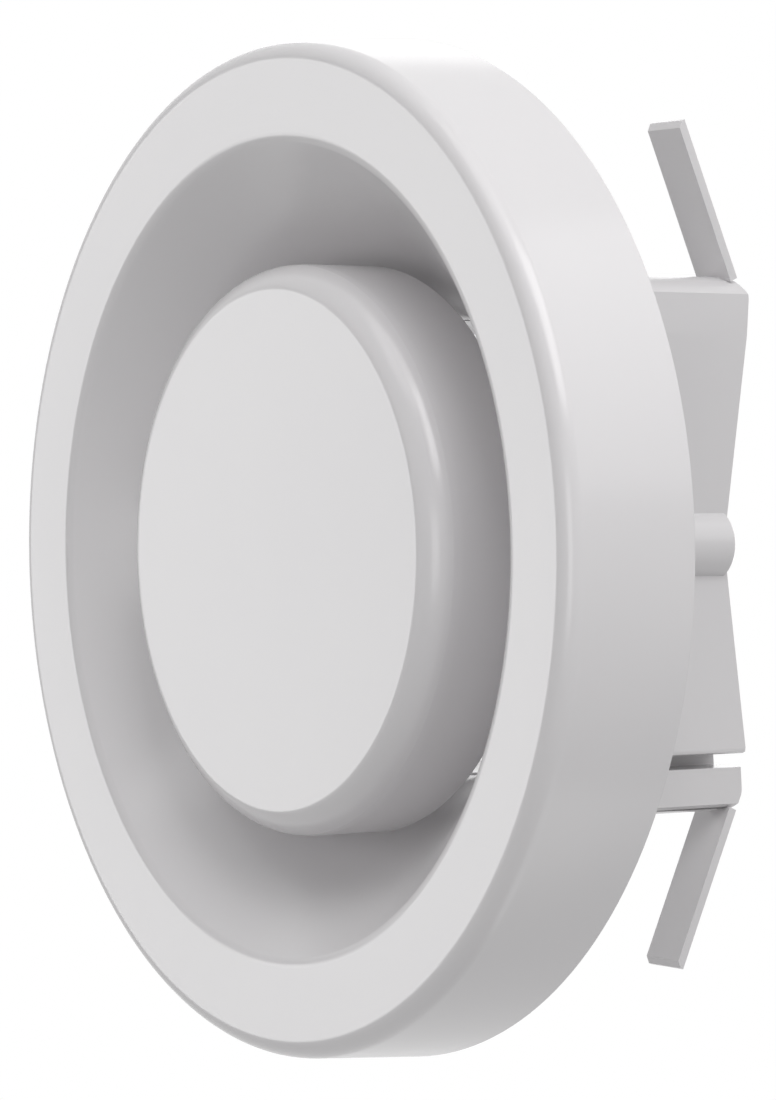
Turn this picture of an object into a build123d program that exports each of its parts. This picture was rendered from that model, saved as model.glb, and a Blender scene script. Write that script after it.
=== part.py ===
"""Disc valve for a round ventilation duct.

The valve's axis is Y. The room is on the -Y side and the duct on the +Y side, X is to the
right and Z is up. The origin is on the axis, in the plane where the rim's back edge meets
the wall. All sizes are in millimetres.
"""
from build123d import *
import math
import os

os.makedirs("parts", exist_ok=True)

# Rim and face ring
rim_diameter = 150.0
rim_depth = 20.4
rim_draft = 1.3
rim_edge_round = 2.8
body_wall = 2.2
face_dish = 0.6

# Mouth, funnel and collar
mouth_diameter = 119.8
mouth_edge_round = 2.5
funnel_bulge = 1.2
throat_diameter = 68.6
throat_start = 11.0
collar_length = 13.5

# Ribs in the hollow back of the rim, and the foam ring that lies on them
rib_count = 12
rib_thickness = 1.6
seal_thickness = 6.0
seal_width = 9.5
seal_clearance = 0.3

# Disc
disc_diameter = 83.5
disc_flat_diameter = 76.4
disc_depth = 16.9
disc_recess = 0.5
disc_edge_round = 0.8
disc_flank_length = 4.6
disc_flank_bulge = 0.9
disc_wall = 2.0
disc_boss_diameter = 12.0
disc_boss_length = 18.0
disc_rib_count = 6
disc_rib_thickness = 1.4
disc_rib_depth = 6.0

# Spindle, lock nut and washer
spindle_diameter = 6.0
spindle_clearance = 0.06
spindle_end_chamfer = 0.6
spindle_inset = 1.0
nut_across_flats = 10.0
nut_height = 5.0
nut_chamfer_angle = 30.0
washer_diameter = 12.0
washer_thickness = 1.6

# Bridge: the hub and the two arms
hub_diameter = 11.3
hub_length = 17.5
hub_back = 62.4
arm_back = 64.8
arm_depth = 17.0
arm_width_at_hub = 4.8
arm_width_at_end = 11.0
arm_end_round = 0.9
arm_corner_round = 6.0

# Bridge: the slots, jaws and legs
slot_width = 2.2
slot_web = 2.8
slot_to_leg = 2.0
jaw_setback = 1.5
jaw_crown = 2.8
leg_clearance = 0.3
leg_thickness = 5.0
leg_overlap = 11.0
leg_tip_round = 1.0

# Bridge: the hooks that snap into the collar's windows
hook_width = 5.0
hook_length = 3.4
hook_setback = 5.0
hook_clearance = 0.3

# Bridge: the spring fingers
finger_width = 8.1
finger_thickness = 1.4
finger_length = 29.4
finger_lean = 23.3
finger_root = 38.8
finger_root_round = 3.0
finger_tip_chamfer = 0.9

rim_radius = rim_diameter / 2
mouth_radius = mouth_diameter / 2
throat_radius = throat_diameter / 2
collar_radius = throat_radius + body_wall
collar_back = throat_start + collar_length
disc_radius = disc_diameter / 2
disc_front = -rim_depth + disc_recess
disc_back = disc_front + disc_depth
spindle_bore = spindle_diameter / 2 + spindle_clearance
hub_front = hub_back - hub_length
arm_front = arm_back - arm_depth
leg_inside = collar_radius + leg_clearance
leg_outside = leg_inside + leg_thickness
leg_tip = collar_back - leg_overlap
arm_reach = leg_inside - slot_to_leg - slot_width
hook_back = collar_back - hook_setback
hook_front = hook_back - hook_length


def inset_corner(before, corner, after, depth):
    """A corner of a section, moved into the wall to lie depth from both lines that meet there."""
    way_in = (corner - before).normalized()
    way_out = (after - corner).normalized()
    normal_in = Vector(way_in.Y, -way_in.X)
    normal_out = Vector(way_out.Y, -way_out.X)
    return corner + (normal_in + normal_out) * (depth / (1 + normal_in.dot(normal_out)))


def inset_line(corners, depth):
    """The corners of an open section line, all moved depth into the wall on its right."""
    first_way = (corners[1] - corners[0]).normalized()
    last_way = (corners[-1] - corners[-2]).normalized()
    start = corners[0] - first_way
    end = corners[-1] + last_way
    padded = [start] + corners + [end]
    return [inset_corner(*padded[i : i + 3], depth) for i in range(len(corners))]


def bowed(start, end, bulge):
    """An arc between two points that stands bulge proud on its left."""
    way = (end - start).normalized()
    return ThreePointArc(start, (start + end) / 2 + Vector(-way.Y, way.X) * bulge, end)


def nearest(face, point):
    """The face's corner at a point."""
    return face.vertices().sort_by_distance(point)[0]


def rounded(face, point, radius):
    """The face with its corner at a point rounded."""
    return fillet(nearest(face, point), radius)


def along_axis(sketch, start, end):
    """A sketch drawn in X and Z, extruded along the valve's axis."""
    return extrude(Plane.XZ.offset(-start) * sketch, amount=start - end)


def across(sketch, width):
    """A sketch drawn in Y and Z, extruded to both sides of the middle plane."""
    return extrude(Plane.YZ * sketch, amount=width / 2, both=True)


def around_axis(solid, count):
    """Copies of a solid, spread evenly round the valve's axis."""
    return [Rot(0, 360 / count * i, 0) * solid for i in range(count)]


def opposite(shape):
    """A shape and its copy on the other side of the axis, half a turn away."""
    return shape + Rot(0, 180, 0) * shape


def body_line(depth):
    """The section of the body's shell at a depth in its wall, from the rim's back edge to the collar's."""
    corners = [
        Vector(rim_radius, 0),
        Vector(rim_radius - rim_draft, -rim_depth),
        Vector(mouth_radius, -rim_depth + face_dish),
        Vector(throat_radius, throat_start),
        Vector(throat_radius, collar_back),
    ]
    line = inset_line(corners, depth)
    # The rim ends in the wall plane all through its wall.
    line[0] += (corners[1] - corners[0]) * (line[0].Y / rim_depth)
    return line


def body_edges(line):
    """The drum, the dished face ring, the bowed funnel and the collar along a section line."""
    rim_back, rim_front, mouth, throat, collar_end = line
    return [
        Line(rim_back, rim_front),
        Line(rim_front, mouth),
        bowed(mouth, throat, funnel_bulge),
        Line(throat, collar_end),
    ]


def make_valve_body():
    outside = body_line(0)
    inside = body_line(body_wall)
    ends = [Line(outside[0], inside[0]), Line(outside[-1], inside[-1])]
    section = make_face(body_edges(outside) + body_edges(inside) + ends)
    section = rounded(section, outside[1], rim_edge_round)
    section = rounded(section, outside[2], mouth_edge_round)
    body = revolve(section, Axis.Y)

    middle = body_line(body_wall / 2)
    hollow = make_face(body_edges(middle)[:3] + [Line(middle[3], middle[0])])
    behind_ribs = Pos(0, -seal_thickness) * Rectangle(
        rim_diameter, 2 * rim_depth, align=(Align.MIN, Align.MIN)
    )
    rib = extrude(hollow - behind_ribs, amount=rib_thickness / 2, both=True)
    body += around_axis(rib, rib_count)

    window = Pos(0, (hook_front + hook_back) / 2, collar_radius) * Box(
        hook_width + 2 * hook_clearance, hook_length + 2 * hook_clearance, 2 * body_wall + 2
    )
    return body - opposite(window)


def make_seal_ring():
    outside = rim_radius - rim_draft - body_wall - seal_clearance
    ring = Circle(outside) - Circle(outside - seal_width)
    return along_axis(ring, -seal_thickness, 0)


def make_disc():
    corners = [
        Vector(0, disc_front),
        Vector(disc_flat_diameter / 2, disc_front),
        Vector(disc_radius, disc_front + disc_flank_length),
        Vector(disc_radius, disc_back),
    ]
    # The wall lies on the left of this line, which runs from the axis outwards.
    inside = inset_line(corners, -disc_wall)
    section = make_face([
        Line(corners[0], corners[1]),
        bowed(corners[2], corners[1], disc_flank_bulge),
        Line(corners[2], corners[3]),
        Line(corners[3], inside[3]),
        Line(inside[3], inside[2]),
        bowed(inside[2], inside[1], disc_flank_bulge),
        Line(inside[1], inside[0]),
        Line(inside[0], corners[0]),
    ])
    section = rounded(section, corners[1], disc_edge_round)
    cup = revolve(section, Axis.Y)

    floor = disc_front + disc_wall / 2
    boss_back = disc_front + disc_wall + disc_boss_length
    boss = along_axis(Circle(disc_boss_diameter / 2), floor, boss_back)
    rib_reach = disc_flat_diameter / 2
    rib = Pos(rib_reach / 2, floor + (disc_wall / 2 + disc_rib_depth) / 2, 0) * Box(
        rib_reach, disc_wall / 2 + disc_rib_depth, disc_rib_thickness
    )
    bore = along_axis(Circle(spindle_bore), disc_front + disc_wall, boss_back)
    return cup + boss + around_axis(rib, disc_rib_count) - bore


def make_spindle():
    front = disc_front + disc_wall + spindle_clearance
    rod = along_axis(Circle(spindle_diameter / 2), front, hub_back - spindle_inset)
    back_edge = rod.edges().filter_by(GeomType.CIRCLE).sort_by(Axis.Y)[-1]
    return chamfer(back_edge, spindle_end_chamfer)


def make_washer():
    ring = Circle(washer_diameter / 2) - Circle(spindle_bore)
    return along_axis(ring, hub_front - washer_thickness, hub_front)


def make_lock_nut():
    back = hub_front - washer_thickness
    front = back - nut_height
    hexagon = RegularPolygon(nut_across_flats / 2, 6, major_radius=False)
    prism = along_axis(hexagon - Circle(spindle_bore), front, back)
    corner_radius = nut_across_flats / math.sqrt(3)
    flat_radius = nut_across_flats / 2
    drop = (corner_radius - flat_radius) * math.tan(math.radians(nut_chamfer_angle))
    outline = Polyline(
        (0, front), (flat_radius, front), (corner_radius, front + drop),
        (corner_radius, back - drop), (flat_radius, back), (0, back), close=True,
    )
    return prism & revolve(make_face(outline), Axis.Y)


def bridge_plan():
    """The bridge seen along the axis, in X and Z: arms that widen outwards, slots and jaws."""
    half_hub = arm_width_at_hub / 2
    half_end = arm_width_at_end / 2
    shoulder = leg_outside - jaw_crown
    right = [(half_hub, 0), (half_end, arm_reach), (half_end, shoulder)]
    left = [(-x, z) for x, z in reversed(right)]
    arm = make_face([
        Polyline(*right),
        ThreePointArc(right[-1], (0, leg_outside), left[0]),
        Polyline(*left),
        Line(left[-1], right[0]),
    ])
    slot = Pos(slot_web, arm_reach) * Rectangle(
        arm_width_at_end, slot_width, align=(Align.MAX, Align.MIN)
    )
    setback = Pos(jaw_setback - half_end, arm_reach) * Rectangle(
        arm_width_at_end, leg_outside, align=(Align.MAX, Align.MIN)
    )
    arm = rounded(arm - slot - setback, (-half_end, arm_reach), arm_end_round)
    return arm + Rot(0, 0, 180) * arm


def bridge_side():
    """The bridge seen from the side, in Y and Z: arms behind, and a leg forward from each end."""
    lean = math.radians(finger_lean)
    heel = (arm_back, finger_root)
    shoulder = (arm_back - (leg_outside - finger_root) * math.tan(lean), leg_outside)
    corner = (arm_front, leg_inside)
    toe = (leg_tip, leg_inside)
    half = make_face(Polyline(
        (hub_back, 0), heel, shoulder, (leg_tip, leg_outside), toe, corner, (arm_front, 0), close=True,
    ))
    half = rounded(half, heel, finger_root_round)
    half = rounded(half, corner, arm_corner_round)
    half = rounded(half, toe, leg_tip_round)
    return half + mirror(half, Plane.XZ)


def make_finger():
    """The upper spring finger, which leans forward from the bridge's back edge."""
    lean = math.radians(finger_lean)
    way = Vector(-math.sin(lean), math.cos(lean))
    inward = Vector(-way.Y, way.X)
    heel = Vector(arm_back, finger_root)
    start = heel + way * finger_root_round
    tip = heel + way * finger_length
    outline = [start, tip, tip + inward * finger_thickness, start + inward * finger_thickness]
    strip = make_face(Polyline(*outline, close=True))
    corner = nearest(strip, outline[2])
    return across(chamfer(corner, finger_tip_chamfer), finger_width)


def make_hook():
    """The upper hook, a wedge inside the leg that stands in the collar's window."""
    root = leg_inside + leg_thickness / 4
    reach = throat_radius + hook_clearance
    wedge = Polyline(
        (hook_front, root), (hook_front, reach), (hook_back, leg_inside), (hook_back, root), close=True
    )
    return across(make_face(wedge), hook_width)


def make_bridge():
    plan = along_axis(bridge_plan(), leg_tip, arm_back)
    frame = plan & across(bridge_side(), arm_width_at_end)
    hub = along_axis(Circle(hub_diameter / 2), hub_front, hub_back)
    bore = along_axis(Circle(spindle_bore), hub_front, arm_back)
    return frame + hub + opposite(make_finger()) + opposite(make_hook()) - bore


pieces = {
    "valve_body": make_valve_body(),
    "seal_ring": make_seal_ring(),
    "disc": make_disc(),
    "spindle": make_spindle(),
    "washer": make_washer(),
    "lock_nut": make_lock_nut(),
    "bridge": make_bridge(),
}
for name, piece in pieces.items():
    export_step(piece, f"parts/{name}.step")
    print(name, "volume", round(piece.volume), "mm3")
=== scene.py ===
# %% [markdown]
# # A disc valve for a round duct
# The valve sits in a wall or ceiling at the end of a ventilation duct. Air passes through the
# ring between its disc and its funnel, and turning the disc on its spindle sets how much.
# This lesson models each piece over the solids of the valve, gives it its finish, and lights it
# as for a catalogue picture. The valve's axis is Y, its face looks along -Y, and Z is up.

# %% Load the frame
import math

import bmesh
import bpy
from mathutils import Matrix, Vector


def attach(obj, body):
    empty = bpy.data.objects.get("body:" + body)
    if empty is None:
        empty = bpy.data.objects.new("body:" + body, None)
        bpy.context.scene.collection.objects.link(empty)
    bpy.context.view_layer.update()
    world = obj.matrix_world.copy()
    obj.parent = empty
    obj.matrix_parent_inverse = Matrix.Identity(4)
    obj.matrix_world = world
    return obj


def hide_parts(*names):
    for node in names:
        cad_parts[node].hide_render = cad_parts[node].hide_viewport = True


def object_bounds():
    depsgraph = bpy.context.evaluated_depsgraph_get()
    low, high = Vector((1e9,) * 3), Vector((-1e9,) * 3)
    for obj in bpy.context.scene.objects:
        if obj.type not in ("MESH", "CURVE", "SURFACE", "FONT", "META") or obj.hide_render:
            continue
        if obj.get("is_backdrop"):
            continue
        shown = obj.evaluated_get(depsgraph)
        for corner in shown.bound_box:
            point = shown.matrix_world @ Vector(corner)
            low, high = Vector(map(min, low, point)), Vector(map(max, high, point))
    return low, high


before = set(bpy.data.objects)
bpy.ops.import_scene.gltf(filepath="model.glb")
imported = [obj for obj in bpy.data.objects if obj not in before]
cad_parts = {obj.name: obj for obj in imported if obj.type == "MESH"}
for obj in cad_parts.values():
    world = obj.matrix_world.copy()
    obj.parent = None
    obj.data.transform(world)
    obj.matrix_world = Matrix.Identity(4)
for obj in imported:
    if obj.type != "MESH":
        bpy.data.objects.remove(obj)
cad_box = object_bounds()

MM = 0.001
print("nodes:", sorted(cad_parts))

# %% [markdown]
# ## Tools for turned pieces
# The body, the disc, the foam ring and the washer are round, so each starts as half of its
# section. A cylinder could be pulled to shape ring by ring, but then each ring is placed by eye.
# Here a plane is merged to one point and the point is extruded from corner to corner. The wire
# that this leaves is the section, and the rod's thread starts from such a wire too.

# %% Draw a wire
SAME_PLACE = 1e-6


def draw_wire(name, corners):
    """A new wire from corner to corner, left in edit mode. Corners are in millimetres, in 2D or 3D."""
    places = [Vector((*corner, 0)[:3]) * MM for corner in corners]
    bpy.ops.object.select_all(action="DESELECT")
    bpy.ops.mesh.primitive_plane_add(size=MM)
    wire = bpy.context.object
    wire.name = wire.data.name = name
    bpy.ops.object.mode_set(mode="EDIT")
    bpy.ops.mesh.select_mode(type="VERT")
    bpy.ops.mesh.select_all(action="SELECT")
    bpy.ops.mesh.merge(type="CENTER")
    bpy.ops.transform.translate(value=places[0])
    for start, end in zip(places, places[1:]):
        bpy.ops.mesh.extrude_region_move(TRANSFORM_OT_translate={"value": end - start})
    return wire


# %% [markdown]
# The wire is spun round the valve's axis, as on a lathe, and every ring of the mesh then lies
# exactly where the section says. The Screw modifier can spin too. The Spin operator is used
# because the mesh stays in edit mode, where its rings of edges are bevelled next. A ring is found
# by its radius and depth, so no edge is picked by its number.

# %% Spin a section and round its edges
STEPS_ROUND, STEPS_SMALL = 192, 64
RING_NEAR = 0.02


def merge_and_face_out():
    """Merges points of the mesh in edit mode that lie in one place, and turns its faces outwards."""
    bpy.ops.mesh.select_all(action="SELECT")
    bpy.ops.mesh.remove_doubles(threshold=SAME_PLACE)
    bpy.ops.mesh.normals_make_consistent(inside=False)


def round_ring(piece, radius, depth, width, segments):
    """Bevels the ring of edges at a radius and depth of a spun piece in edit mode."""

    def on_ring(place):
        return max(abs(math.hypot(place.x, place.z) - radius), abs(place.y - depth)) < RING_NEAR

    bpy.ops.mesh.select_mode(type="EDGE")
    bpy.ops.mesh.select_all(action="DESELECT")
    mesh = bmesh.from_edit_mesh(piece.data)
    ring = [edge for edge in mesh.edges if all(on_ring(end.co / MM) for end in edge.verts)]
    for edge in ring:
        edge.select_set(True)
    bmesh.update_edit_mesh(piece.data)
    print(f"  rounding {len(ring)} edges at radius {radius:.2f}, depth {depth:.2f} mm")
    bpy.ops.mesh.bevel(
        offset=width * MM, segments=segments, profile=0.5, affect="EDGES", clamp_overlap=True
    )


def turn_piece(name, corners, steps=STEPS_ROUND, rounds=()):
    """Spins a section round the axis. A round is a corner of it, the bevel's width and its segments."""
    piece = draw_wire(name, corners)
    bpy.ops.mesh.select_all(action="SELECT")
    bpy.ops.mesh.spin(steps=steps, angle=2 * math.pi, center=(0, 0, 0), axis=(0, 1, 0))
    merge_and_face_out()
    for corner, width, segments in rounds:
        round_ring(piece, *corner, width, segments)
    bpy.ops.object.mode_set(mode="OBJECT")
    return piece


# %% [markdown]
# A section needs two more tools. One bends a straight stretch to a shallow arc, for a wall that
# bulges. The other moves a line sideways by a depth, so that the inside of a moulding follows its
# outside. The Solidify modifier gives a wall as well, but its back edge would stand square to the
# wall's slope, and the rim has to lie flat.

# %% Bend and move a section line
def bowed(start, end, bulge, steps):
    """Points of a shallow arc between two corners, bulging to the left, without its two ends."""
    start, end = Vector(start), Vector(end)
    way = (end - start).normalized()
    left = Vector((-way.y, way.x))
    shares = [i / steps for i in range(1, steps)]
    return [tuple(start.lerp(end, t) + left * bulge * 4 * t * (1 - t)) for t in shares]


def inset(corners, depth):
    """A section line's corners, each moved to lie depth to the right of the lines that meet in it."""
    corners = [Vector(corner) for corner in corners]
    moved = []
    for i, corner in enumerate(corners):
        way_in = (corner - corners[i - 1] if i else corners[1] - corner).normalized()
        way_out = (corners[i + 1] - corner if i + 1 < len(corners) else way_in).normalized()
        normal = Vector((way_in.y, -way_in.x)) + Vector((way_out.y, -way_out.x))
        moved.append(tuple(corner + normal * (2 * depth / normal.length_squared)))
    return moved


# %% [markdown]
# ## Cutting and joining
# Ribs, windows and bores are solids of their own, joined to a piece or cut from it with the
# Boolean modifier, as one would with clay and a cutter. They could be inset and extruded from the
# spun mesh, but then they would have to follow its rings of edges. A modifier here is always
# applied at once, so that the next step meets a plain mesh.

# %% Modifiers and Booleans
def select_only(piece):
    """Makes a piece the only one that operators act on."""
    bpy.ops.object.select_all(action="DESELECT")
    bpy.context.view_layer.objects.active = piece
    piece.select_set(True)


def apply_modifier(piece, kind, **settings):
    """Adds a modifier with its settings to a piece and applies it."""
    select_only(piece)
    modifier = piece.modifiers.new(kind.lower(), kind)
    for name, value in settings.items():
        setattr(modifier, name, value)
    bpy.ops.object.modifier_apply(modifier=modifier.name)


def combine(piece, other, operation):
    """Joins another solid to a piece, cuts it away or keeps what both share. The other one goes."""
    apply_modifier(piece, "BOOLEAN", operation=operation, solver="EXACT", object=other)
    bpy.data.objects.remove(other, do_unlink=True)


# %% [markdown]
# A solid that isn't round starts as a flat outline, filled with a face and extruded. What repeats
# round the axis is modelled once. The Array modifier would need an empty to turn about, so copies
# are turned in their meshes instead, which also leaves every object at the origin.

# %% Extruded solids and copies
def rectangle(left, front, right, back, height):
    """The four corners of a flat rectangle at a height."""
    return [(left, front, height), (right, front, height), (right, back, height), (left, back, height)]


def extrude_outline(name, corners, way):
    """A flat closed outline, filled and extruded by a vector, in millimetres."""
    piece = draw_wire(name, [*corners, corners[0]])
    bpy.ops.mesh.select_all(action="SELECT")
    bpy.ops.mesh.remove_doubles(threshold=SAME_PLACE)
    bpy.ops.mesh.edge_face_add()
    bpy.ops.mesh.extrude_region_move(TRANSFORM_OT_translate={"value": Vector(way) * MM})
    merge_and_face_out()
    bpy.ops.object.mode_set(mode="OBJECT")
    return piece


def copy_round(piece, count):
    """Copies a piece evenly round the valve's axis and joins the copies to it."""
    copies = []
    for i in range(1, count):
        copy = piece.copy()
        copy.data = piece.data.copy()
        copy.data.transform(Matrix.Rotation(2 * math.pi * i / count, 4, "Y"))
        bpy.context.collection.objects.link(copy)
        copies.append(copy)
    select_only(piece)
    for copy in copies:
        copy.select_set(True)
    bpy.ops.object.join()
    return piece


# %% [markdown]
# At the end a piece is shaded smooth where faces meet at a small angle, and sharp elsewhere.
# Booleans and bevels leave narrow faces beside wide ones, and plain smooth shading then makes a
# flat face look bent. The Weighted Normal modifier lets wide faces count for more, so they stay
# flat to the eye. The piece then moves with its body and hides the solid that it stands for.

# %% Shade a piece and hang it on its body
def finish_piece(piece, body, node, angle=30):
    """Shades a piece smooth up to an angle in degrees, hangs it on its body and hides its solid."""
    select_only(piece)
    bpy.ops.object.shade_smooth_by_angle(angle=math.radians(angle))
    apply_modifier(piece, "WEIGHTED_NORMAL", keep_sharp=True)
    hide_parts(node)
    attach(piece, body)
    print(f"{piece.name}: {len(piece.data.polygons)} faces, {len(piece.data.vertices)} points")


# %% [markdown]
# ## The valve body
# The body is one moulding: a deep rim against the wall, a flat face ring, a funnel and a collar
# that reaches into the duct. All of it is one shell, 2.2 mm thick. Its section is drawn once
# along the side that is seen and once along the hidden side, and spun. The rim's front edge and
# the mouth's edge are bevelled in several steps, because these two rounds carry the highlights.

# %% Spin the shell
WALL = 2.2
RIM_BACK, RIM_FRONT, MOUTH = (75.0, 0.0), (73.7, -20.4), (59.9, -19.8)
THROAT, COLLAR_END = (34.3, 11.0), (34.3, 24.5)
FUNNEL_BULGE, FUNNEL_STEPS = 1.2, 14
RIM_ROUND, MOUTH_ROUND, THROAT_ROUND, BACK_ROUND = 2.7, 0.95, 2.0, 0.35


def shell_line(depth):
    """The shell's five corners at a depth in its wall, with the rim's back edge flat on the wall."""
    line = inset([RIM_BACK, RIM_FRONT, MOUTH, THROAT, COLLAR_END], depth)
    (back_x, back_y), (front_x, front_y) = line[0], line[1]
    slope = (front_x - back_x) / (front_y - back_y)
    return [(back_x - back_y * slope, 0.0), *line[1:]]


outside, inside = shell_line(0), shell_line(WALL)
shell_section = [
    *outside[:3], *bowed(outside[2], outside[3], FUNNEL_BULGE, FUNNEL_STEPS), *outside[3:],
    *reversed(inside[3:]), *reversed(bowed(inside[2], inside[3], FUNNEL_BULGE, FUNNEL_STEPS)),
    *reversed(inside[:3]), outside[0],
]
back_edges = (RIM_BACK, inside[0], COLLAR_END, inside[-1])
valve_body = turn_piece("valve_body_moulding", shell_section, rounds=[
    (RIM_FRONT, RIM_ROUND, 8), (MOUTH, MOUTH_ROUND, 6), (THROAT, THROAT_ROUND, 4),
    *[(edge, BACK_ROUND, 2) for edge in back_edges],
])

# %% [markdown]
# Behind the face ring the rim is hollow, so that the wall is even and the moulding doesn't
# shrink out of shape. Twelve thin ribs tie the rim to the funnel there, and the foam ring lies
# on their back edges. A rib's outline runs in the middle of the wall, so that the Boolean meets
# it well inside the shell and never face on face.

# %% Ribs
RIB_COUNT, RIB_THICKNESS, RIB_BACK = 12, 1.6, -6.0
middle = shell_line(WALL / 2)
funnel_middle = [middle[2], *bowed(middle[2], middle[3], FUNNEL_BULGE, FUNNEL_STEPS)]
funnel_front = [point for point in funnel_middle if point[1] < RIB_BACK]
funnel_end = funnel_middle[len(funnel_front)]
share = (RIB_BACK - funnel_front[-1][1]) / (funnel_end[1] - funnel_front[-1][1])
rib_heel = (funnel_front[-1][0] + share * (funnel_end[0] - funnel_front[-1][0]), RIB_BACK)
rim_slope = (middle[1][0] - middle[0][0]) / middle[1][1]
rib_outline = [(middle[0][0] + rim_slope * RIB_BACK, RIB_BACK), middle[1], *funnel_front, rib_heel]
ribs = extrude_outline(
    "ribs", [(x, y, -RIB_THICKNESS / 2) for x, y in rib_outline], (0, 0, RIB_THICKNESS)
)
combine(valve_body, copy_round(ribs, RIB_COUNT), "UNION")
print(RIB_COUNT, "ribs joined to the body")

# %% [markdown]
# Two windows in the collar, above and below, take the hooks of the bridge. Each is a little
# larger than its hook. The cutter starts inside the collar and ends outside, because a cutter
# that stops flush with a face leaves slivers.

# %% Windows
HOOK_FRONT, HOOK_BACK, HOOK_WIDTH = 16.1, 19.5, 5.0
WINDOW_ROOM = 0.3
half_window = HOOK_WIDTH / 2 + WINDOW_ROOM
windows = extrude_outline("windows", rectangle(
    -half_window, HOOK_FRONT - WINDOW_ROOM, half_window, HOOK_BACK + WINDOW_ROOM,
    COLLAR_END[0] - WALL / 2,
), (0, 0, 2 * WALL))
combine(valve_body, copy_round(windows, 2), "DIFFERENCE")
finish_piece(valve_body, "housing", "valve_body")

# %% [markdown]
# ## The disc
# The disc is a shallow cup with its flat floor to the room. Its flank bulges a little, and its
# skirt goes back past the mouth to guide the air. It is a turned form, so it is spun as the body
# is, with small rounds where the flat floor, the flank and the skirt meet.

# %% Spin the cup
DISC_FRONT, DISC_BACK, DISC_WALL = -19.9, -3.0, 2.0
DISC_FLAT, DISC_RADIUS, FLANK_BACK = 38.2, 41.75, -15.3
FLANK_BULGE, FLANK_STEPS = 0.9, 8
FLAT_ROUND, FLANK_ROUND, SKIRT_ROUND = 0.42, 0.8, 0.4
cup_outside = [
    (0, DISC_FRONT), (DISC_FLAT, DISC_FRONT), (DISC_RADIUS, FLANK_BACK), (DISC_RADIUS, DISC_BACK),
]
cup_inside = inset(cup_outside, -DISC_WALL)
cup_section = [
    *cup_outside[:2],
    *reversed(bowed(cup_outside[2], cup_outside[1], FLANK_BULGE, FLANK_STEPS)), *cup_outside[2:],
    *reversed(cup_inside[2:]),
    *bowed(cup_inside[2], cup_inside[1], FLANK_BULGE, FLANK_STEPS), *reversed(cup_inside[:2]),
]
disc = turn_piece("disc_moulding", cup_section, rounds=[
    (cup_outside[1], FLAT_ROUND, 4), (cup_outside[2], FLANK_ROUND, 4),
    (cup_outside[3], SKIRT_ROUND, 2), (cup_inside[3], SKIRT_ROUND, 2),
])

# %% [markdown]
# Behind the floor a boss holds the rod, and six low ribs run from it to the flank. The boss could
# be spun with the cup, but the ribs can't, so all of them are joined on. They start in the middle
# of the floor's wall, so that nothing meets face on face. The bore comes last, so that it also
# cuts off the inner ends of the ribs.

# %% Boss, ribs and bore behind the floor
BOSS_RADIUS, BOSS_BACK, BOSS_CHAMFER = 6.0, 0.1, 0.5
floor_middle = DISC_FRONT + DISC_WALL / 2
boss = turn_piece("boss", [
    (0, floor_middle), (BOSS_RADIUS, floor_middle), (BOSS_RADIUS, BOSS_BACK - BOSS_CHAMFER),
    (BOSS_RADIUS - BOSS_CHAMFER, BOSS_BACK), (0, BOSS_BACK),
], steps=STEPS_SMALL)
combine(disc, boss, "UNION")

DISC_RIB_COUNT, DISC_RIB_THICKNESS = 6, 1.4
DISC_RIB_START, DISC_RIB_BACK = 2.0, -11.9
disc_ribs = extrude_outline("disc_ribs", rectangle(
    DISC_RIB_START, floor_middle, DISC_FLAT, DISC_RIB_BACK, -DISC_RIB_THICKNESS / 2
), (0, 0, DISC_RIB_THICKNESS))
combine(disc, copy_round(disc_ribs, DISC_RIB_COUNT), "UNION")

BORE = 3.06
BOSS_LEAD, LEAD_DEPTH, CUT_PAST = 0.7, 0.5, 0.2
bore = turn_piece("bore", [
    (0, DISC_FRONT + DISC_WALL), (BORE, DISC_FRONT + DISC_WALL), (BORE, BOSS_BACK - LEAD_DEPTH),
    (BORE + BOSS_LEAD, BOSS_BACK + CUT_PAST), (0, BOSS_BACK + CUT_PAST),
], steps=STEPS_SMALL)
combine(disc, bore, "DIFFERENCE")
finish_piece(disc, "disc", "disc")

# %% [markdown]
# ## The bridge
# The bridge spans the duct behind the collar. Seen along the axis, its two arms widen outwards
# and end in a slot and a jaw with a rounded end. Seen from the side, each arm turns forward in a
# leg that reaches over the collar. Pushing and pulling a cube to both shapes takes many cuts. Two
# outlines give all of it: one is extruded along the axis, the other across, and the bridge is
# what they share. This is the first outline.

# %% The plan, seen along the axis
LEG_TIP, ARM_FRONT, ARM_BACK = 13.5, 47.8, 64.8
LEG_INSIDE, LEG_OUTSIDE = 36.8, 41.8
ARM_REACH, SLOT_WIDTH, SLOT_WEB = 32.6, 2.2, 2.8
HALF_HUB, HALF_END = 2.4, 5.5
JAW_SETBACK, JAW_CROWN, CROWN_STEPS = 1.5, 2.8, 12
BRIDGE_PAST = 1.0
jaw_side = JAW_SETBACK - HALF_END
crown_radius = (HALF_END**2 + JAW_CROWN**2) / (2 * JAW_CROWN)


def crown(x):
    """The height of the rounded end at a distance from the middle."""
    return LEG_OUTSIDE - crown_radius + math.sqrt(crown_radius**2 - x * x)


crown_x = [HALF_END + (jaw_side - HALF_END) * i / CROWN_STEPS for i in range(CROWN_STEPS + 1)]
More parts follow.
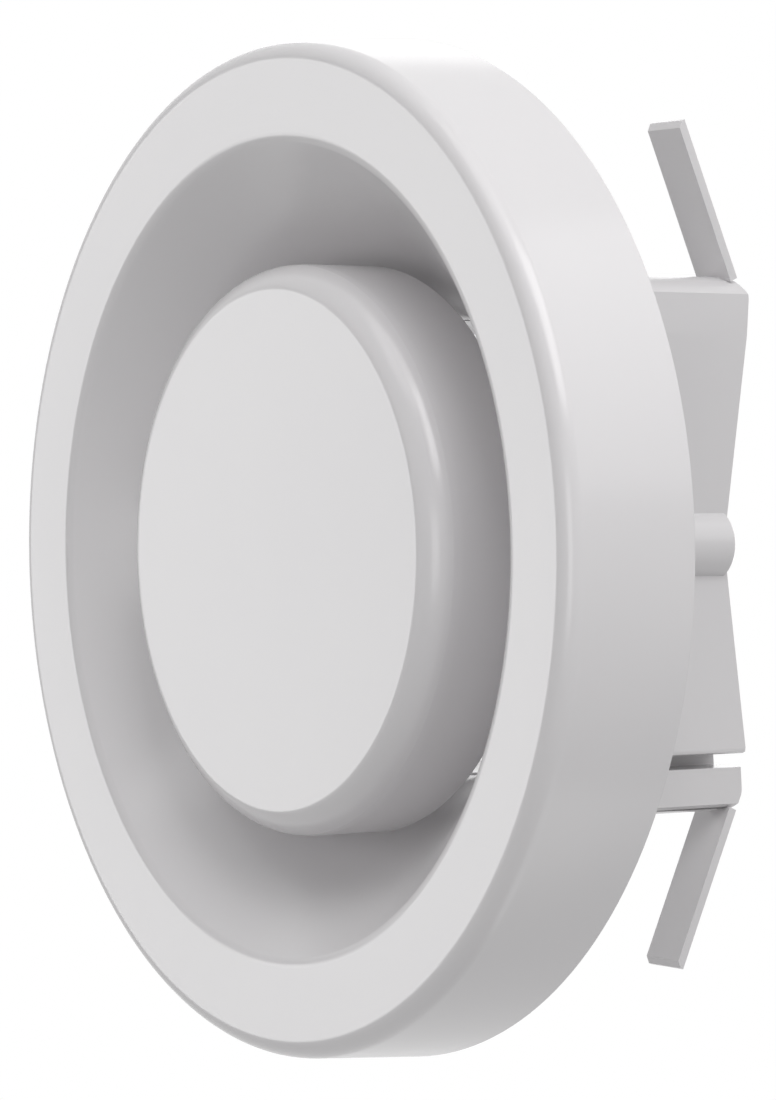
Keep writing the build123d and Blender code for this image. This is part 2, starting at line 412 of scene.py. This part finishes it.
# The arm's outer corner is rounded by three points, the middle one about where an arc would pass.
END_ROUND, ARC_MIDDLE, ARM_TAPER = 0.9, 0.3, 0.09
arm_half = [
    (HALF_HUB, 0), (HALF_END, ARM_REACH), *[(x, crown(x)) for x in crown_x],
    (jaw_side, ARM_REACH + SLOT_WIDTH), (SLOT_WEB, ARM_REACH + SLOT_WIDTH), (SLOT_WEB, ARM_REACH),
    (END_ROUND - HALF_END, ARM_REACH),
    (ARC_MIDDLE * END_ROUND - HALF_END, ARM_REACH - ARC_MIDDLE * END_ROUND),
    (ARM_TAPER * END_ROUND - HALF_END, ARM_REACH - END_ROUND),
]
plan = [*arm_half, *[(-x, -z) for x, z in arm_half]]
bridge = extrude_outline(
    "bridge_moulding", [(x, LEG_TIP - BRIDGE_PAST, z) for x, z in plan],
    (0, ARM_BACK - LEG_TIP + 2 * BRIDGE_PAST, 0),
)
print("plan:", len(plan), "corners")

# %% [markdown]
# The second outline has the legs, and a back that slopes from the arms' ends to the hub. Its
# corners are rounded by arcs that are worked out from the two lines that meet there, because
# a bevel on the finished mesh would also catch the edges beside them.

# %% The side, and what both share
HUB_FRONT, HUB_BACK, HUB_RADIUS = 44.9, 62.4, 5.65
FINGER_ROOT, FINGER_LEAN = 38.8, math.radians(23.3)
HEEL_ROUND, TOE_ROUND, CORNER_ROUND = 3.0, 1.0, 6.0
SIDE_HALF = 8.0


def rounded(before, corner, after, radius, steps):
    """Points of the arc that rounds the corner between two straight lines."""
    before, corner, after = Vector(before), Vector(corner), Vector(after)
    way_in, way_out = (corner - before).normalized(), (after - corner).normalized()
    half_turn = way_in.angle(way_out) / 2
    centre = corner + (way_out - way_in).normalized() * (radius / math.cos(half_turn))
    first = corner - way_in * radius * math.tan(half_turn) - centre
    last = corner + way_out * radius * math.tan(half_turn) - centre
    return [tuple(centre + first.slerp(last, i / steps) * radius) for i in range(steps + 1)]


hub_middle, heel = (HUB_BACK, 0), (ARM_BACK, FINGER_ROOT)
shoulder = (ARM_BACK - (LEG_OUTSIDE - FINGER_ROOT) * math.tan(FINGER_LEAN), LEG_OUTSIDE)
leg_end, toe = (LEG_TIP, LEG_OUTSIDE), (LEG_TIP, LEG_INSIDE)
inner_corner, arm_middle = (ARM_FRONT, LEG_INSIDE), (ARM_FRONT, 0)
side_half = [
    hub_middle, *rounded(hub_middle, heel, shoulder, HEEL_ROUND, 4), shoulder, leg_end,
    *rounded(leg_end, toe, inner_corner, TOE_ROUND, 4),
    *rounded(toe, inner_corner, arm_middle, CORNER_ROUND, 8),
]
side = [*side_half, *[(y, -z) for y, z in reversed(side_half[1:])]]
side_block = extrude_outline(
    "bridge_side", [(-SIDE_HALF, y, z) for y, z in side], (2 * SIDE_HALF, 0, 0)
)
combine(bridge, side_block, "INTERSECT")
print("bridge frame:", len(bridge.data.polygons), "faces")

# %% [markdown]
# The hub in the middle of the bridge takes the rod. From each end a thin spring finger leans
# forward, and these two fingers bend inwards and grip the duct. Both are simple solids, one
# turned and one extruded, so each is made by itself and joined on.

# %% Hub and fingers
HUB_CHAMFER = 0.4
hub = turn_piece("hub", [
    (0, HUB_FRONT), (HUB_RADIUS - HUB_CHAMFER, HUB_FRONT), (HUB_RADIUS, HUB_FRONT + HUB_CHAMFER),
    (HUB_RADIUS, HUB_BACK - HUB_CHAMFER), (HUB_RADIUS - HUB_CHAMFER, HUB_BACK), (0, HUB_BACK),
], steps=STEPS_SMALL)
combine(bridge, hub, "UNION")

FINGER_LENGTH, FINGER_THICKNESS, FINGER_WIDTH = 29.4, 1.4, 8.1
TIP_CHAMFER = 0.9
finger_way = Vector((-math.sin(FINGER_LEAN), math.cos(FINGER_LEAN)))
finger_in = Vector((-finger_way.y, finger_way.x))
finger_heel = Vector(heel)
finger_outline = [
    finger_heel + finger_way * HEEL_ROUND,
    finger_heel + finger_way * FINGER_LENGTH,
    finger_heel + finger_way * FINGER_LENGTH + finger_in * (FINGER_THICKNESS - TIP_CHAMFER),
    finger_heel + finger_way * (FINGER_LENGTH - TIP_CHAMFER) + finger_in * FINGER_THICKNESS,
    finger_heel + finger_way * HEEL_ROUND + finger_in * FINGER_THICKNESS,
]
fingers = extrude_outline(
    "fingers", [(-FINGER_WIDTH / 2, y, z) for y, z in finger_outline], (FINGER_WIDTH, 0, 0)
)
combine(bridge, copy_round(fingers, 2), "UNION")
print("bridge with hub and fingers:", len(bridge.data.polygons), "faces")

# %% [markdown]
# A wedge inside each leg is the hook that snaps into the collar's window. Its root lies a quarter
# of the way into the leg, so that the Boolean joins two solids that overlap. The hub's bore is
# cut after all is joined, because the arms run through the hub.

# %% Hooks and the hub's bore
hook_reach = THROAT[0] + WINDOW_ROOM
hook_root = LEG_INSIDE + (LEG_OUTSIDE - LEG_INSIDE) / 4
hook_outline = [
    (HOOK_FRONT, hook_root), (HOOK_FRONT, hook_reach), (HOOK_BACK, LEG_INSIDE), (HOOK_BACK, hook_root),
]
hooks = extrude_outline(
    "hooks", [(-HOOK_WIDTH / 2, y, z) for y, z in hook_outline], (HOOK_WIDTH, 0, 0)
)
combine(bridge, copy_round(hooks, 2), "UNION")
hub_bore = turn_piece("hub_bore", [
    (0, HUB_FRONT - BRIDGE_PAST), (BORE, HUB_FRONT - BRIDGE_PAST),
    (BORE, ARM_BACK + BRIDGE_PAST), (0, ARM_BACK + BRIDGE_PAST),
], steps=STEPS_SMALL)
combine(bridge, hub_bore, "DIFFERENCE")
print("bridge with hooks and bore:", len(bridge.data.polygons), "faces")

# %% [markdown]
# No moulded edge is perfectly sharp. A Bevel modifier breaks every edge that is steeper than an
# angle, which is quicker than picking edges on a mesh with this many corners, and the thin line of
# light along each edge is what makes the bridge look moulded.

# %% Break the bridge's edges
EDGE_BREAK, BREAK_ANGLE = 0.28, 35
apply_modifier(
    bridge, "BEVEL", width=EDGE_BREAK * MM, segments=2, limit_method="ANGLE",
    angle_limit=math.radians(BREAK_ANGLE),
)
finish_piece(bridge, "housing", "bridge", angle=BREAK_ANGLE)

# %% [markdown]
# ## Rod, nut and washer
# The rod is zinc-plated steel with an M6 thread all along. A bump texture could draw the thread,
# but its outline would stay straight. So one turn is drawn as a zigzag, and the Screw modifier
# winds it up, with some turns to spare at each end. Bisect then cuts both ends off and fills the
# cuts. The fill leaves small gaps, which the disc's boss and the hub hide.

# %% Wind the thread
ROD_FRONT, ROD_BACK = -17.84, 61.4
PITCH, CREST, ROOT = 1.0, 3.0, 2.45
THREAD_STEPS, SPARE_TURNS = 28, 2
zigzag = [(ROOT, 0), (ROOT, 0.18), (CREST, 0.45), (CREST, 0.6), (ROOT, 0.92), (ROOT, 1.0)]
rod = draw_wire("threaded_rod", [(radius, share * PITCH) for radius, share in zigzag])
bpy.ops.mesh.select_all(action="SELECT")
bpy.ops.transform.translate(value=(0, (ROD_FRONT - SPARE_TURNS * PITCH) * MM, 0))
bpy.ops.object.mode_set(mode="OBJECT")
apply_modifier(
    rod, "SCREW", axis="Y", angle=2 * math.pi, screw_offset=PITCH * MM,
    iterations=round((ROD_BACK - ROD_FRONT) / PITCH) + 2 * SPARE_TURNS,
    steps=THREAD_STEPS, render_steps=THREAD_STEPS,
    use_merge_vertices=True, merge_threshold=SAME_PLACE,
)
bpy.ops.object.mode_set(mode="EDIT")
merge_and_face_out()
for end, way in ((ROD_FRONT, -1), (ROD_BACK, 1)):
    bpy.ops.mesh.select_all(action="SELECT")
    bpy.ops.mesh.bisect(
        plane_co=(0, end * MM, 0), plane_no=(0, way, 0), use_fill=True, clear_outer=True
    )
merge_and_face_out()
bpy.ops.object.mode_set(mode="OBJECT")
finish_piece(rod, "spindle", "spindle", angle=25)

# %% [markdown]
# The nut locks the rod against the hub. A real nut is a hexagon whose corners were turned off
# at 30 degrees, and that leaves the curved lines on its sides. A bevel can't give those lines, so
# a hexagon and a turned envelope are made, and the nut is what they share.

# %% The nut
NUT_FRONT, NUT_BACK, NUT_FLAT, NUT_LEAD = 38.3, 43.3, 5.0, 0.6
STEPS_FASTENER = 96
nut_corner = NUT_FLAT / math.cos(math.pi / 6)
chamfer_drop = (nut_corner - NUT_FLAT) * math.tan(math.pi / 6)
hexagon = [
    (nut_corner * math.cos(math.pi / 3 * i), NUT_FRONT, nut_corner * math.sin(math.pi / 3 * i))
    for i in range(6)
]
nut = extrude_outline("lock_nut_hexagon", hexagon, (0, NUT_BACK - NUT_FRONT, 0))
envelope = turn_piece("nut_envelope", [
    (0, NUT_FRONT), (NUT_FLAT, NUT_FRONT), (nut_corner, NUT_FRONT + chamfer_drop),
    (nut_corner, NUT_BACK - chamfer_drop), (NUT_FLAT, NUT_BACK), (0, NUT_BACK),
], steps=STEPS_FASTENER)
combine(nut, envelope, "INTERSECT")
nut_bore = turn_piece("nut_bore", [
    (0, NUT_FRONT - CUT_PAST), (BORE + NUT_LEAD, NUT_FRONT - CUT_PAST),
    (BORE, NUT_FRONT + LEAD_DEPTH), (BORE, NUT_BACK - LEAD_DEPTH),
    (BORE + NUT_LEAD, NUT_BACK + CUT_PAST), (0, NUT_BACK + CUT_PAST),
], steps=STEPS_SMALL)
combine(nut, nut_bore, "DIFFERENCE")
finish_piece(nut, "nut", "lock_nut")

# %% [markdown]
# The washer lies between the nut and the hub. It was punched from sheet, so its edges are a
# little round. A cylinder with a hole would do, but a spun ring gets its rounds in the same step.

# %% The washer
WASHER_RADIUS, WASHER_ROUND = 6.0, 0.2
washer_corners = [
    (BORE, NUT_BACK), (WASHER_RADIUS, NUT_BACK), (WASHER_RADIUS, HUB_FRONT), (BORE, HUB_FRONT),
]
washer = turn_piece(
    "washer_ring", [*washer_corners, washer_corners[0]], steps=STEPS_FASTENER,
    rounds=[(corner, WASHER_ROUND, 2) for corner in washer_corners],
)
finish_piece(washer, "washer", "washer")

# %% [markdown]
# ## The foam ring
# A ring of soft closed-cell foam lies behind the rim and closes the gap to the wall. It was cut
# from a sheet, so its faces are flat, its edges are a little soft, and its sides pull in where
# the cutter pressed it. Cloth simulation would puff it up like a cushion, so it is spun instead.

# %% Spin the foam
FOAM_INSIDE, FOAM_OUTSIDE, FOAM_BACK = 61.7, 71.2, 0.0
FOAM_PULL, FOAM_PULL_STEPS, FOAM_ROUND = 0.35, 6, 0.5
foam_corners = [
    (FOAM_INSIDE, RIB_BACK), (FOAM_OUTSIDE, RIB_BACK), (FOAM_OUTSIDE, FOAM_BACK), (FOAM_INSIDE, FOAM_BACK),
]
foam_section = [
    *foam_corners[:2], *bowed(foam_corners[1], foam_corners[2], FOAM_PULL, FOAM_PULL_STEPS),
    *foam_corners[2:], *bowed(foam_corners[3], foam_corners[0], FOAM_PULL, FOAM_PULL_STEPS),
    foam_corners[0],
]
foam = turn_piece(
    "foam_ring", foam_section, rounds=[(corner, FOAM_ROUND, 3) for corner in foam_corners]
)
finish_piece(foam, "housing", "seal_ring")

# %% [markdown]
# ## Finishes
# Three materials cover the valve: white moulded plastic, zinc-plated steel and grey foam. Image
# textures would need files and UV maps. Nodes on Object coordinates need neither, and a pattern
# then has its real size in millimetres. Colours are written as sRGB hex values, as a paint
# program shows them, and one function turns them to the linear values that the shader takes.

# %% Node tools
def linear(hex_colour):
    """An sRGB hex colour as linear RGBA."""
    parts = [int(hex_colour[i : i + 2], 16) / 255 for i in (1, 3, 5)]
    return [*[p / 12.92 if p <= 0.04045 else ((p + 0.055) / 1.055) ** 2.4 for p in parts], 1.0]


def add_node(tree, kind, inputs=None, **settings):
    """Adds a node. Each input is a value, or the output of another node, which is linked to it."""
    node = tree.nodes.new(kind)
    for name, value in settings.items():
        setattr(node, name, value)
    for name, value in (inputs or {}).items():
        if isinstance(value, bpy.types.NodeSocket):
            tree.links.new(value, node.inputs[name])
        else:
            node.inputs[name].default_value = value
    return node


def new_material(name):
    """An empty node material with its output and Object coordinates."""
    material = bpy.data.materials.new(name)
    material.use_nodes = True
    tree = material.node_tree
    tree.nodes.clear()
    output = add_node(tree, "ShaderNodeOutputMaterial")
    place = add_node(tree, "ShaderNodeTexCoord").outputs["Object"]
    return material, tree, output, place


def per_metre(size_mm):
    """The texture scale that gives a pattern this size in millimetres."""
    return 1 / (size_mm * MM)


# %% [markdown]
# The plastic is ABS, injection-moulded white. A polished mould gives it a satin gloss with a
# very fine grain, and the melt leaves faint clouds of lighter and darker white where it flowed.
# One plain colour would look like paint, so a wide noise mixes two whites, and a fine one varies
# the gloss and lifts a slight bump.

# %% White ABS
CLOUD_MM = 35
# The real grain is about 0.05 mm, too fine to show, so it is drawn at 0.3 mm.
GRAIN_MM = 0.3
abs_plastic, tree, output, place = new_material("white_moulded_abs")
clouds = add_node(tree, "ShaderNodeTexNoise", {
    "Vector": place, "Scale": per_metre(CLOUD_MM), "Detail": 2.0,
})
white = add_node(tree, "ShaderNodeMix", {
    "Factor": clouds.outputs["Fac"], 6: linear("#DFDDDE"), 7: linear("#DAD8DA"),
}, data_type="RGBA")
grain = add_node(tree, "ShaderNodeTexNoise", {
    "Vector": place, "Scale": per_metre(GRAIN_MM), "Detail": 2.0,
})
gloss = add_node(tree, "ShaderNodeMapRange", {
    "Value": grain.outputs["Fac"], "To Min": 0.17, "To Max": 0.24,
})
bump = add_node(tree, "ShaderNodeBump", {
    "Height": grain.outputs["Fac"], "Strength": 0.25, "Distance": 0.01 * MM,
})
shader = add_node(tree, "ShaderNodeBsdfPrincipled", {
    "Base Color": white.outputs[2], "Roughness": gloss.outputs["Result"], "IOR": 1.6,
    "Normal": bump.outputs["Normal"],
})
tree.links.new(shader.outputs["BSDF"], output.inputs["Surface"])
print(abs_plastic.name, "has", len(tree.nodes), "nodes")

# %% [markdown]
# Zinc plating is a bright blue-grey metal. Rolling the thread and turning the nut leave fine
# marks round the axis, and the passivated surface has soft patches of duller grey. The marks are
# a noise that a Mapping node squeezes along the axis, so that it runs out into lines round it.

# %% Zinc-plated steel
PATCH_MM, MARK_LENGTH_MM, MARK_WIDTH_MM = 3, 4, 0.12
zinc, tree, output, place = new_material("zinc_plated_steel")
patches = add_node(tree, "ShaderNodeTexNoise", {
    "Vector": place, "Scale": per_metre(PATCH_MM), "Detail": 3.0,
})
metal = add_node(tree, "ShaderNodeMix", {
    "Factor": patches.outputs["Fac"], 6: linear("#CDD1D4"), 7: linear("#B4B8BD"),
}, data_type="RGBA")
squeezed = add_node(tree, "ShaderNodeMapping", {
    "Vector": place,
    "Scale": (per_metre(MARK_LENGTH_MM), per_metre(MARK_WIDTH_MM), per_metre(MARK_LENGTH_MM)),
})
marks = add_node(tree, "ShaderNodeTexNoise", {
    "Vector": squeezed.outputs["Vector"], "Scale": 1.0, "Detail": 2.0,
})
gloss = add_node(tree, "ShaderNodeMapRange", {
    "Value": marks.outputs["Fac"], "To Min": 0.24, "To Max": 0.42,
})
bump = add_node(tree, "ShaderNodeBump", {
    "Height": marks.outputs["Fac"], "Strength": 0.3, "Distance": 0.01 * MM,
})
shader = add_node(tree, "ShaderNodeBsdfPrincipled", {
    "Base Color": metal.outputs[2], "Roughness": gloss.outputs["Result"], "Metallic": 1.0,
    "Normal": bump.outputs["Normal"],
})
tree.links.new(shader.outputs["BSDF"], output.inputs["Surface"])
print(zinc.name, "has", len(tree.nodes), "nodes")

# %% [markdown]
# The foam is grey polyethylene with closed cells under a millimetre across. Where the sheet was
# cut, the cells are open and give small pits. A Voronoi texture is made of such cells, and its
# distance from each cell's middle gives the pits' depth, and a darker grey in them as painted shade.

# %% Closed-cell foam
CELL_MM = 0.7
foam_pe, tree, output, place = new_material("closed_cell_pe_foam")
cells = add_node(tree, "ShaderNodeTexVoronoi", {"Vector": place, "Scale": per_metre(CELL_MM)})
pit_depth_and_shade = add_node(tree, "ShaderNodeMapRange", {
    "Value": cells.outputs["Distance"], "From Min": 0.1, "From Max": 0.7,
})
# The darker grey in the middle of each cell is painted shade in the pit; the bump gives its real depth.
grey = add_node(tree, "ShaderNodeMix", {
    "Factor": pit_depth_and_shade.outputs["Result"], 6: linear("#6F6F73"), 7: linear("#9C9C9F"),
}, data_type="RGBA")
bump = add_node(tree, "ShaderNodeBump", {
    "Height": pit_depth_and_shade.outputs["Result"], "Strength": 0.6, "Distance": 0.15 * MM,
})
shader = add_node(tree, "ShaderNodeBsdfPrincipled", {
    "Base Color": grey.outputs[2], "Roughness": 0.85, "Normal": bump.outputs["Normal"],
})
tree.links.new(shader.outputs["BSDF"], output.inputs["Surface"])
print(foam_pe.name, "has", len(tree.nodes), "nodes")

# %% [markdown]
# Each piece is of one material, so it gets one slot and no faces need to be assigned.

# %% Give each piece its finish
FINISHES = [
    (abs_plastic, "white_plastic", (valve_body, disc, bridge)),
    (zinc, "zinc_steel", (rod, nut, washer)),
    (foam_pe, "foam", (foam,)),
]
for material, slot, pieces in FINISHES:
    for piece in pieces:
        piece.data.materials.clear()
        piece.data.materials.append(material)
    print(material.name, "on", [piece.name for piece in pieces])

# %% [markdown]
# ## Floor, light and camera
# The valve hangs in the air, as on a wall, well above a white floor. The picture looks along the
# floor and doesn't show it, but views from above do. A floor that is lit to plain white would
# throw too much light back on the valve. So what the camera and reflections see is mostly a white
# glow, chosen by the Light Path node. Under the valve a share of the matt floor shows as well, and
# with it the valve's soft shadow.

# %% Floor
FLOOR_HEIGHT, FLOOR_SIZE = -0.8, 6.0
SHADOW_NEAR, SHADOW_FAR, NEAR_GLOW = 0.05, 0.4, 0.6


def seen_directly(tree):
    """A socket that is 1 for what the camera sees, straight or by reflection or through glass."""
    ray = add_node(tree, "ShaderNodeLightPath")
    seen = ray.outputs["Is Camera Ray"]
    for other in ("Is Glossy Ray", "Is Transmission Ray"):
        both = add_node(
            tree, "ShaderNodeMath", {0: seen, 1: ray.outputs[other]}, operation="ADD", use_clamp=True
        )
        seen = both.outputs["Value"]
    return seen


bpy.ops.object.select_all(action="DESELECT")
bpy.ops.mesh.primitive_plane_add(size=FLOOR_SIZE, location=(0, 0, FLOOR_HEIGHT))
floor = bpy.context.object
floor.name = "floor"
floor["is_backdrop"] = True
floor_paint, tree, output, place = new_material("white_floor")
far = add_node(tree, "ShaderNodeVectorMath", {0: place}, operation="LENGTH")
glow_share = add_node(tree, "ShaderNodeMapRange", {
    "Value": far.outputs["Value"], "From Min": SHADOW_NEAR, "From Max": SHADOW_FAR,
    "To Min": NEAR_GLOW, "To Max": 1.0,
}, interpolation_type="SMOOTHSTEP")
seen_share = add_node(tree, "ShaderNodeMath", {
    0: seen_directly(tree), 1: glow_share.outputs["Result"],
}, operation="MULTIPLY")
matt = add_node(tree, "ShaderNodeBsdfDiffuse", {"Color": linear("#E6E6E6")})
glow = add_node(tree, "ShaderNodeEmission", {"Color": (1, 1, 1, 1), "Strength": 1.0})
blend = add_node(tree, "ShaderNodeMixShader", {
    0: seen_share.outputs["Value"], 1: matt.outputs["BSDF"], 2: glow.outputs["Emission"],
})
tree.links.new(blend.outputs["Shader"], output.inputs["Surface"])
floor.data.materials.append(floor_paint)
print("floor at", FLOOR_HEIGHT, "m")

# %% [markdown]
# The world is the background and a soft light from all sides at once. The camera and reflections
# see it as plain white, at a strength of 1. As a light it is weaker, because even light from all
# sides would take the depth from the funnel.

# %% World
AMBIENT = 0.36
world = bpy.data.worlds.new("studio")
bpy.context.scene.world = world
world.use_nodes = True
tree = world.node_tree
tree.nodes.clear()
dim = add_node(tree, "ShaderNodeBackground", {"Color": (1, 1, 1, 1), "Strength": AMBIENT})
plain = add_node(tree, "ShaderNodeBackground", {"Color": (1, 1, 1, 1), "Strength": 1.0})
blend = add_node(tree, "ShaderNodeMixShader", {
    0: seen_directly(tree), 1: dim.outputs["Background"], 2: plain.outputs["Background"],
})
add_node(tree, "ShaderNodeOutputWorld", {"Surface": blend.outputs["Shader"]})
print("world light", AMBIENT)

# %% [markdown]
# Seven soft lamps model the form. Fewer would do for one picture, but the valve is also looked at
# from behind. key_right lights the rim's side and the disc's flank, top_front the upper sides and
# the face. back_right and back_left light the bridge, low_right lifts the rim's lower side, and
# front_fill reaches into the mouth. sheen_left stands far off where the flat faces mirror it to
# the camera, and gives them the even sheen of satin plastic.

# %% Lamps
LAMPS = [
    # name, azimuth and elevation in degrees, distance, width and height in metres, power in watts
    ("key_right", 75, 44, 0.5, 0.3, 0.3, 0.9),
    ("top_front", 20, 62, 0.9, 0.6, 0.6, 1.2),
    ("back_right", 130, 35, 0.9, 0.8, 0.8, 1.6),
    ("back_left", -140, 15, 0.9, 0.8, 0.8, 1.4),
    ("low_right", 110, -60, 0.5, 0.3, 0.3, 0.2),
    ("front_fill", 42, 0, 0.9, 0.4, 0.4, 0.8),
    ("sheen_left", -58, -1, 3.0, 0.75, 1.35, 9.0),
]


def from_angle(azimuth, elevation, distance):
    """A point seen from the valve. Azimuth 0 is in front and grows to the right."""
    a, e = math.radians(azimuth), math.radians(elevation)
    return Vector((math.sin(a) * math.cos(e), -math.cos(a) * math.cos(e), math.sin(e))) * distance


for name, azimuth, elevation, distance, width, height, power in LAMPS:
    place = from_angle(azimuth, elevation, distance)
    bpy.ops.object.select_all(action="DESELECT")
    bpy.ops.object.light_add(type="AREA", location=place)
    lamp = bpy.context.object
    lamp.name = name
    lamp.rotation_euler = place.to_track_quat("Z", "Y").to_euler()
    lamp.data.shape = "RECTANGLE"
    lamp.data.size, lamp.data.size_y = width, height
    lamp.data.energy = power
    lamp.visible_camera = False
    print(f"{name}: {power} W at {azimuth} and {elevation} degrees")

# %% [markdown]
# The camera stands to the right of the valve, almost level with it, with a long lens, so that the
# rim's far side is hardly smaller than its near side. Its angle, aim and lens were fitted to the
# outlines of the rim, the mouth and the disc in the photograph, so they aren't round numbers.

# %% Camera
VIEW_AZIMUTH, VIEW_ELEVATION, VIEW_DISTANCE = 56.182, 1.253, 600.0
AIM_DEPTH, AIM_RIGHT, AIM_UP = -20.03, 17.296, 0.077
FOCAL_PIXELS, PHOTO_HEIGHT = 4119.2, 1100
SENSOR = 36.0
back = from_angle(VIEW_AZIMUTH, VIEW_ELEVATION, 1.0)
right = Vector((math.cos(math.radians(VIEW_AZIMUTH)), math.sin(math.radians(VIEW_AZIMUTH)), 0))
aim = Vector((0, AIM_DEPTH, 0)) + right * AIM_RIGHT + back.cross(right) * AIM_UP
bpy.ops.object.camera_add(location=(aim + back * VIEW_DISTANCE) * MM)
camera = bpy.context.object
camera.rotation_euler = back.to_track_quat("Z", "Y").to_euler()
camera.data.sensor_width = SENSOR
camera.data.lens = FOCAL_PIXELS * SENSOR / PHOTO_HEIGHT
camera.data.clip_start = 0.01
bpy.context.scene.camera = camera
bpy.context.scene.view_settings.view_transform = "Standard"
print("lens", round(camera.data.lens, 2), "mm")

# %% [markdown]
# Last, the box of the solids and the box of the modelled pieces are printed side by side. Looks
# may not change a size, so the two should agree.

# %% Keep the sizes and finish
sizes = {"cad": cad_box, "visual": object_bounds()}
sizes = {name: [[float(x) for x in corner] for corner in box] for name, box in sizes.items()}
print(sizes)
